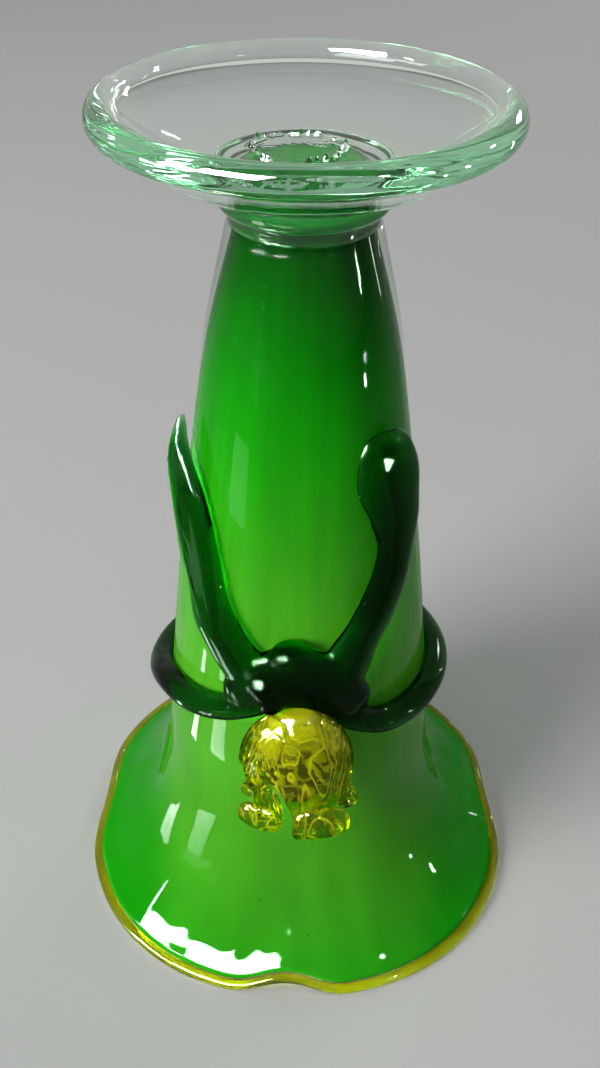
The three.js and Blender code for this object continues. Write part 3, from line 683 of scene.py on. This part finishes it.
plug_side = [(shoulder_radius, PLUG_BOTTOM + 1.2), (20.4, WAFER_BOTTOM - 0.9)]
profile = np.vstack([
    base, plug_side, wafer_edge_low, wafer_edge_top, under,
    arc(lip_centre, LIP, -60, 75, 22), arc(lip_centre, LIP, 105, 130, 6), dish, dish_flat,
])
foot_grid = revolve(profile, 300)


def break_scar(grid):
    """Roughens the middle of the dish: a broken ring of ridges round a shallow chipped hollow.

    The ring lies a little left of the middle. Its height is a sum of sines of the angle, cut off
    below 0 so that it comes and goes, and the chips are products of sines of x and y.
    """
    x, y, z = np.moveaxis(grid, -1, 0)
    radius = np.hypot(x + SCAR_SHIFT, y)
    turn = np.arctan2(y, x + SCAR_SHIFT)
    on_top = z > DISH - 0.5
    wander = 11.8 + 0.7 * np.sin(3 * turn + 0.5) + 0.4 * np.sin(7 * turn)
    ring = np.exp(-((radius - wander) / 0.75) ** 2)
    teeth = 0.5 + 0.3 * np.sin(5 * turn + 1)
    teeth += 0.25 * np.sin(13 * turn) + 0.2 * np.sin(29 * turn + 2)
    chips = 0.6 * np.sin(2.3 * x + 2 * np.sin(0.9 * y)) * np.sin(2.9 * y + 1.7 * np.sin(0.8 * x))
    hollow = 0.5 * (1 - smoothstep(radius, 6, 10.5))
    inside = 1 - smoothstep(radius, 8, 12)
    lift = 2.2 * ring * teeth.clip(0, 1) * (1 + 0.4 * chips) - hollow + 0.1 * inside * chips
    return np.stack([x, y, z + np.where(on_top, lift, 0)], axis=-1)


foot = skin("foot_glass", break_scar(foot_grid))
foot_clear = coloured_glass("foot_clear_glass", (0.60, 0.88, 0.70, 1), 0.012, 25.0)
finish_piece(foot, foot_clear, "clear_glass", "foot_disc", "foot_wafer", "pontil_scar")


# Stem work: dark green glass trailed on hot. One cord goes round the vase, its two ends and the two
# leaves are pressed together on the front, and what was dropped on last forms the bridge there.
FRONT = math.radians(268)
CROSSING = 118.0
RING_ROUTE = [
    (-6, -6), (-19, -12), (-29, -16), (-43, -20), (-63, -24), (-90, -33), (-122, -38), (-180, -37),
    (-230, -31), (-268, -27), (-290, -25), (-308, -24), (-323, -22), (-337, -16), (-352, -8),
]
BRIDGE_ROUTE = [(-29, -16.5), (-16, -5), (0, 1.3), (15, -3.4), (30, -19)]
POINTED_ROUTE = [
    (2, -9), (-12, -3), (-24, 5), (-37, 18), (-49, 37.7), (-60, 53), (-71, 63.8), (-77, 72.5),
]
SPOON_ROUTE = [(14, -9), (25, 9), (36, 21), (46, 34), (50, 47), (48, 61), (46, 77)]
KNOB_ROUTE = [(-9, 7.5), (-1, 11), (8, 7.5)]
ROOT_ROUTE = [(-18.5, 6.5), (-11.5, 0.5), (-4.2, -6.5)]
STEM_WIDTH = 7.8
STEM_THICKNESS = 7.4
BRIDGE_WIDTH = 21.5
BRIDGE_THICKNESS = 8.4
LEAF_THICKNESS = 6.6
FLANGE_THICKNESS = 0.7
POINTED_WIDTH = 14.6
NECK_WIDTH = 12.4
BOWL = 24 / NECK_WIDTH
KNOB_WIDTH = 7.5
KNOB_THICKNESS = 9
ROOT_WIDTH = 8.5
ROOT_THICKNESS = 14
reach = float(body_radius(CROSSING))


def even_values(values, along):
    """Interpolates evenly spaced values smoothly at places from 0 to 1."""
    last = len(values) - 1
    span = np.clip(np.floor(along * last).astype(int), 0, last - 1)
    share = smoothstep(along * last - span, 0, 1)
    values = np.asarray(values, float)
    return values[span] * (1 - share) + values[span + 1] * share


def laid_bit(name, route, width, thickness, steps=160, sides=40, bluntness=5.0, lift=None):
    """A drawn bit of glass laid on the body along a route of (degrees from the front, height).

    The section is a half round: across runs over the glass, and away rises from a little below it.
    width is a function of the place along, from 0 to 1. thickness and lift are functions of that
    and of the place across, from -1 to 1. Both ends are rounded as a superellipse of the given
    bluntness.
    """
    sink = 0.9
    along = (0.5 - 0.5 * np.cos(np.linspace(0, math.pi, steps)))[:, None]
    flat_route = [(math.radians(turn) * reach, CROSSING + rise) for turn, rise in route]
    line = curve_through(flat_route, 600)
    places = np.linspace(0, 1, 600)
    step = np.gradient(line, axis=0)
    step /= np.linalg.norm(step, axis=1, keepdims=True)
    centre_x, centre_z, step_x, step_z = (
        np.interp(along, places, values) for values in (*line.T, *step.T)
    )
    round_ = np.linspace(0, 2 * math.pi, sides, endpoint=False)[None, :]
    taper = (1 - np.abs(2 * along - 1) ** bluntness).clip(0, 1) ** (1 / bluntness)
    across = 0.5 * width(along) * taper * np.cos(round_)
    rise = np.sin(round_)
    crown = np.where(rise < 0, -np.sqrt(np.abs(rise)), rise)
    tall = thickness(along, np.cos(round_)) * taper
    away = tall * (0.5 + 0.5 * crown) - sink * taper * (0.5 - 0.5 * crown)
    height = centre_z + step_x * across
    turn = centre_x / reach - step_z * across / body_radius(height)
    raised = lift(along, np.cos(round_)) if lift else 0
    radius = body_radius(height) + away + raised
    turned = FRONT + turn
    return skin(name, np.stack([radius * np.cos(turned), radius * np.sin(turned), height], axis=-1))


def pointed_thickness(along, side):
    """A round rib whose one edge is drawn out to a thin flange in the leaf's upper half."""
    flange = smoothstep(along, 0.35, 0.52) * smoothstep(side, 0.1, 0.4)
    rib = LEAF_THICKNESS * even_values([1, 1, 1, 0.9], along)
    return rib + (FLANGE_THICKNESS - rib) * flange


def pointed_lift(along, side):
    """The flange stands 5 mm off the body in the leaf's middle, and the tip 2.6 mm."""
    free = smoothstep(along, 0.3, 0.6) * (1 - smoothstep(along, 0.85, 1))
    return 5.0 * free * smoothstep(side, -0.3, 1) + 2.6 * smoothstep(along, 0.6, 1)


def spoon_lift(along, side):
    """The bowl's outer edge stands 2.2 mm off the body."""
    return 2.2 * smoothstep(along, 0.5, 0.8) * smoothstep(-side, -0.2, 1)


ring = laid_bit("ring_bit", RING_ROUTE, lambda s: STEM_WIDTH, lambda s, c: STEM_THICKNESS,
                steps=420, sides=36, bluntness=16)
bridge = laid_bit(
    "bridge_bit", BRIDGE_ROUTE,
    lambda s: BRIDGE_WIDTH * even_values([0.3, 0.75, 1, 1, 0.75, 0.3], s),
    lambda s, c: BRIDGE_THICKNESS * even_values([0.3, 0.85, 1, 1, 0.85, 0.3], s),
)
pointed = laid_bit(
    "pointed_bit", POINTED_ROUTE,
    lambda s: POINTED_WIDTH * even_values([0.9, 1.2, 1, 0.95, 1, 1.05, 0.8, 0.25], s),
    pointed_thickness, bluntness=3, lift=pointed_lift,
)
spoon = laid_bit(
    "spoon_bit", SPOON_ROUTE,
    lambda s: NECK_WIDTH * even_values([2.2, 1.3, 1, 1, 1, 0.75 * BOWL, BOWL, 0.9 * BOWL], s),
    lambda s, c: LEAF_THICKNESS * even_values([1, 0.92, 0.9, 0.7, 0.5], s),
    bluntness=4, lift=spoon_lift,
)
knob = laid_bit("knob_bit", KNOB_ROUTE, lambda s: KNOB_WIDTH, lambda s, c: KNOB_THICKNESS,
                steps=60, bluntness=2.5)
root = laid_bit("root_bit", ROOT_ROUTE, lambda s: ROOT_WIDTH * even_values([0.7, 0.95, 1.1], s),
                lambda s, c: ROOT_THICKNESS * even_values([0.3, 0.75, 1.1], s),
                steps=60, bluntness=3)


def melt_together(name, bits, voxel, smoothing):
    """Joins bits into one closed skin on a fine lattice, and lets the seams flow by smoothing."""
    joined = bmesh.new()
    for bit in bits:
        joined.from_mesh(bit.data)
        bpy.data.objects.remove(bit)
    mesh = bpy.data.meshes.new(name)
    joined.to_mesh(mesh)
    joined.free()
    piece = bpy.data.objects.new(name, mesh)
    scene.collection.objects.link(piece)
    lattice = piece.modifiers.new("lattice", "REMESH")
    lattice.mode = "VOXEL"
    lattice.voxel_size = voxel
    flow = piece.modifiers.new("flow", "SMOOTH")
    flow.factor = 0.5
    flow.iterations = smoothing
    graph = bpy.context.evaluated_depsgraph_get()
    melted = bpy.data.meshes.new_from_object(piece.evaluated_get(graph))
    piece.modifiers.clear()
    piece.data = melted
    melted.name = name
    melted.shade_smooth()
    return piece


bits = [ring, bridge, pointed, spoon, knob, root]
stem_work = melt_together("stem_work_glass", bits, voxel=0.49 * MM, smoothing=14)
dark_glass = coloured_glass("dark_green_glass", (0.02, 0.66, 0.14, 1), 0.012, 880.0,
                            wave=0.02, bend=1.165, sheen=(0.55, 1, 0.6, 1))
finish_piece(stem_work, dark_glass, "dark_green_glass",
             "stem_bridge", "leaf_pointed", "leaf_spoon", "stem_ring")


# Bud: yellow glass pinched into five petals round a core. It hangs from the bridge and leans away
# from the body; the tips of the petals were curled out with tweezers.
BUD_TILT = math.radians(11)
BUD_TOP = CROSSING - 5.5
outwards = np.array([math.cos(FRONT), math.sin(FRONT), 0.0])
sideways = np.array([-outwards[1], outwards[0], 0.0])
bud_axis = np.array([0, 0, -math.cos(BUD_TILT)]) + math.sin(BUD_TILT) * outwards
bud_front = math.cos(BUD_TILT) * outwards + np.array([0, 0, math.sin(BUD_TILT)])
root_turn = FRONT + math.radians(2)
root_radius = float(body_radius(BUD_TOP)) + SEAT_GAP + 8.8
bud_root = np.array([root_radius * math.cos(root_turn), root_radius * math.sin(root_turn), BUD_TOP])


def in_bud(distance, angle, radius):
    """A point of the bud: distance down its axis, angle from its front, and radius at its side.

    The section is an ellipse that is deeper at the front than at the back, blended by a tanh.
    """
    forward = np.cos(angle)
    depth = 0.55 + 0.09 * np.tanh(4 * forward)
    parts = np.broadcast_arrays(distance, radius * np.sin(angle), radius * depth * forward)
    axes = (bud_axis, sideways, bud_front)
    return bud_root + sum(part[..., None] * axis for part, axis in zip(parts, axes))


PETAL_LINE = [(1.5, 7.5), (7, 13.2), (15, 16.3), (24, 15.8)]
PETAL_CURL_RADIUS = 14.2


def petal(name, middle, half, length, curl, twist, thick, fat, tip, notch=0.0):
    """A petal: a thick sheet that leaves the core, swells to the bud and rolls up at its tip.

    The middle line is a curve of (distance, radius) that ends in an arc of radius curl. The sheet
    spreads to both sides of it by an angle, which shrinks to the share tip at its end, where it is
    thicker by fat, and turns by twist. One side edge stands out, so that petals overlap, and the
    other may be drawn back by a bell curve, the notch, which leaves a hollow between two petals.
    Slanted ripples, sines of the place along and across, mark where the tweezers drew the glass.
    """
    roll_angle = np.radians(np.linspace(-110, 150, 9)) + 0.35
    roll_centre = np.array([length - curl, PETAL_CURL_RADIUS + curl])
    roll = roll_centre + curl * np.stack([np.cos(roll_angle), np.sin(roll_angle)], axis=1)
    line = curve_through([*PETAL_LINE, *map(tuple, roll)], 400)
    along = (0.5 - 0.5 * np.cos(np.linspace(0, math.pi, 200)))[:, None]
    round_ = np.linspace(0, 2 * math.pi, 72, endpoint=False)[None, :]
    places = np.linspace(0, 1, 400)
    step = np.gradient(line, axis=0)
    step /= np.linalg.norm(step, axis=1, keepdims=True)
    distance, radius, step_d, step_r = (np.interp(along, places, v) for v in (*line.T, *step.T))
    taper = (1 - np.abs(2 * along - 1) ** 6).clip(0, 1) ** (1 / 6)
    side = np.cos(round_) * taper
    low = smoothstep(along, 0.32, 0.6)
    drop = smoothstep(along, 0.55, 0.85)
    full = np.sign(np.sin(round_)) * np.abs(np.sin(round_)) ** 0.8
    bead = 0.8 + 0.5 * np.abs(side) ** 3
    off = 0.5 * thick * taper * full * bead * (1 + fat * drop)
    ripple = 0.24 * np.sin(34 * along + 5 * side) + 0.34 * np.sin(11 * side + 9 * along)
    fold = 0.9 * side * smoothstep(along, 0.05, 0.4) * (1 - drop) + ripple * low * (1 - 0.6 * drop)
    width = 1 - (1 - tip) * smoothstep(along, 0.42, 0.72)
    bite = notch * np.exp(-((along - 0.43) / 0.1) ** 2) * smoothstep(side, 0, 1)
    angle = middle + half * side * width + twist * smoothstep(along, 0.3, 0.8) - bite
    out = off + fold
    return skin(name, in_bud(distance - step_r * out, angle, radius + step_d * out))


PETAL_ROUGHNESS = 0.015
PETAL_BEND = 1.26


def petal_glass():
    """Yellow glass of the petals: clear, with folds drawn along it, and cloudy at the top.

    The folds are the contour lines of a noise squeezed across the bud: they scatter light in a
    golden yellow and stand out a little. Between them light passes, less and less blue the thicker
    the glass is. Where a fold turns steeply away, the face lets light through and mirrors little,
    as no grey room may veil the yellow there. A slow noise bends the lower edge of the cloud.
    """
    material, tree, output = new_material("yellow_glass")
    link = tree.links.new
    place = add_node(tree, "ShaderNodeTexCoord", (-1500, 0))
    squeeze = add_node(tree, "ShaderNodeVectorMath", (-1300, 0), operation="MULTIPLY")
    squeeze.inputs[1].default_value = (1, 1, 0.30)
    drawn = add_node(tree, "ShaderNodeTexNoise", (-1100, 0), Scale=95.0, Detail=1.2, Distortion=0.5)
    levels = add_node(tree, "ShaderNodeMath", (-900, 0), operation="PINGPONG")
    levels.inputs[1].default_value = 0.055
    line = mapped(tree, (-700, 0), 0.022, 0.002, 0.0, 0.38)
    apart = add_node(tree, "ShaderNodeSeparateXYZ", (-1300, 400))
    slow = add_node(tree, "ShaderNodeTexNoise", (-1300, 700), Scale=75.0, Detail=1.0)
    bent = add_node(tree, "ShaderNodeMath", (-1000, 500), operation="MULTIPLY_ADD")
    bent.inputs[1].default_value = 0.05
    top = mapped(tree, (-700, 400), 0.124, 0.137, 0.0, 0.30)
    milk = add_node(tree, "ShaderNodeMath", (-350, 150), operation="MAXIMUM")
    clear = add_node(tree, "ShaderNodeMath", (-150, 150), operation="SUBTRACT")
    clear.inputs[0].default_value = 0.97
    finish = {"Roughness": PETAL_ROUGHNESS, "IOR": PETAL_BEND}
    glass = add_node(tree, "ShaderNodeBsdfPrincipled", (200, 0), **finish)
    glass.inputs["Base Color"].default_value = (0.62, 0.64, 0.006, 1)
    glass.inputs["Specular Tint"].default_value = (1, 0.97, 0.4, 1)
    edge = add_node(tree, "ShaderNodeLayerWeight", (-350, -500), Blend=0.5)
    calm = mapped(tree, (-150, -500), 0.25, 0.6)
    side = add_node(tree, "ShaderNodeNewGeometry", (-350, -700))
    outside = add_node(tree, "ShaderNodeMath", (0, -600), operation="SUBTRACT", use_clamp=True)
    through = add_node(tree, "ShaderNodeBsdfRefraction", (200, -250), **finish)
    through.inputs["Color"].default_value = (0.79, 0.80, 0.08, 1)
    mixed = add_node(tree, "ShaderNodeMixShader", (450, 0))
    depth = add_node(tree, "ShaderNodeVolumeAbsorption", (200, -400), Density=1700.0)
    depth.inputs["Color"].default_value = (0.945, 0.960, 0.01, 1)
    bump = add_node(tree, "ShaderNodeBump", (-150, -200), Strength=0.7, Distance=0.005)
    link(place.outputs["Object"], squeeze.inputs[0])
    link(place.outputs["Object"], apart.inputs[0])
    link(place.outputs["Object"], slow.inputs["Vector"])
    link(squeeze.outputs[0], drawn.inputs["Vector"])
    link(drawn.outputs["Fac"], levels.inputs[0])
    link(levels.outputs[0], line.inputs["Value"])
    link(slow.outputs["Fac"], bent.inputs[0])
    link(apart.outputs["Z"], bent.inputs[2])
    link(bent.outputs[0], top.inputs["Value"])
    link(line.outputs[0], milk.inputs[0])
    link(top.outputs[0], milk.inputs[1])
    link(milk.outputs[0], clear.inputs[1])
    link(clear.outputs[0], glass.inputs["Transmission Weight"])
    link(levels.outputs[0], bump.inputs["Height"])
    link(bump.outputs[0], glass.inputs["Normal"])
    link(bump.outputs[0], through.inputs["Normal"])
    link(bump.outputs[0], edge.inputs["Normal"])
    link(edge.outputs["Facing"], calm.inputs["Value"])
    link(calm.outputs[0], outside.inputs[0])
    link(side.outputs["Backfacing"], outside.inputs[1])
    link(outside.outputs[0], mixed.inputs[0])
    link(glass.outputs[0], mixed.inputs[1])
    link(through.outputs[0], mixed.inputs[2])
    link(mixed.outputs[0], output.inputs["Surface"])
    link(depth.outputs[0], output.inputs["Volume"])
    return material


# Each petal as its node, its middle and half its spread in degrees, then length, curl, twist, thick,
# fat, tip and notch as petal() takes them.
PETALS = [
    ("petal_front_right", 19, 41, 36.8, 3.9, 0.07, 2.8, 1.3, 0.62),
    ("petal_right", 90, 38, 33.5, 1.8, 0.15, 2.4, 0.9, 0.6),
    ("petal_back", 160, 40, 34.5, 1.6, 0.0, 2.2, 0.9, 0.6),
    ("petal_left", 236, 38, 34.5, 1.8, -0.1, 2.4, 0.9, 0.6),
    ("petal_front_left", 306, 38, 36.0, 2.9, 0.28, 2.8, 1.2, 0.60, 0.45),
]
yellow = petal_glass()
for node, middle, half, *shape in PETALS:
    piece = petal(node + "_glass", math.radians(middle), math.radians(half), *shape)
    finish_piece(piece, yellow, "yellow_glass", node)


# Core: the bit of yellow glass that hangs from the bridge and carries the petals. It is fluted, and
# shows between them as golden glass, with dark olive bands painted on as the shade of folds and
# hollows.
CORE_LENGTH = 33
CORE_RADIUS = 10.5
GOLDEN = (0.42, 0.43, 0.005, 1)
# Painted shade: the colour of the dark lines that stand for the shade of the folds and hollows.
OLIVE_FOLD_SHADE = (0.045, 0.050, 0.001, 1)


def folded_glass():
    """Opaque-looking yellow glass of the core: golden, with dark olive lines as painted shade of its
    folds.

    The lines are bent slanting bands that fade out towards the bud's top.
    """
    material, tree, output = new_material("yellow_core_glass")
    place = add_node(tree, "ShaderNodeTexCoord", (-900, 0))
    bands = add_node(tree, "ShaderNodeTexWave", (-650, 0), bands_direction="DIAGONAL",
                     Scale=90.0, Distortion=9.0, Detail=2.0)
    bands.inputs["Detail Scale"].default_value = 1.6
    apart = add_node(tree, "ShaderNodeSeparateXYZ", (-650, 300))
    low = mapped(tree, (-450, 300), 0.112, 0.100)
    fold_shade = mapped(tree, (-450, 0), 0.1, 0.6)
    depth = add_node(tree, "ShaderNodeMath", (-250, 200), operation="MULTIPLY")
    tone = colour_mix(tree, (-50, 0), OLIVE_FOLD_SHADE, GOLDEN)
    glass = add_node(tree, "ShaderNodeBsdfPrincipled", (250, 0), Roughness=0.05)
    glass.inputs["Specular IOR Level"].default_value = 0.12
    tree.links.new(place.outputs["Object"], bands.inputs["Vector"])
    tree.links.new(place.outputs["Object"], apart.inputs[0])
    tree.links.new(apart.outputs["Z"], low.inputs["Value"])
    tree.links.new(bands.outputs["Fac"], fold_shade.inputs["Value"])
    tree.links.new(fold_shade.outputs[0], depth.inputs[0])
    tree.links.new(low.outputs[0], depth.inputs[1])
    tree.links.new(depth.outputs[0], tone.inputs[MIX_FACTOR])
    tree.links.new(tone.outputs[MIX_RESULT], glass.inputs["Base Color"])
    tree.links.new(glass.outputs[0], output.inputs["Surface"])
    return material


along = (0.5 - 0.5 * np.cos(np.linspace(0, math.pi, 120)))[:, None]
round_ = np.linspace(0, 2 * math.pi, 120, endpoint=False)[None, :]
taper = (1 - np.abs(2 * along - 1) ** 5).clip(0, 1) ** 0.2
core_radius = CORE_RADIUS * taper * even_values([0.7, 1, 1.05, 1, 0.8, 0.5], along)
flutes = 0.14 * np.sin(5 * round_ + 4 * along + 1) + 0.07 * np.sin(9 * round_ - 11 * along)
core_radius = core_radius * (1 + flutes * smoothstep(along, 0.1, 0.4))
core = skin("flower_heart_glass", in_bud(CORE_LENGTH * along, round_, core_radius))
finish_piece(core, folded_glass(), "yellow_glass", "flower_heart")
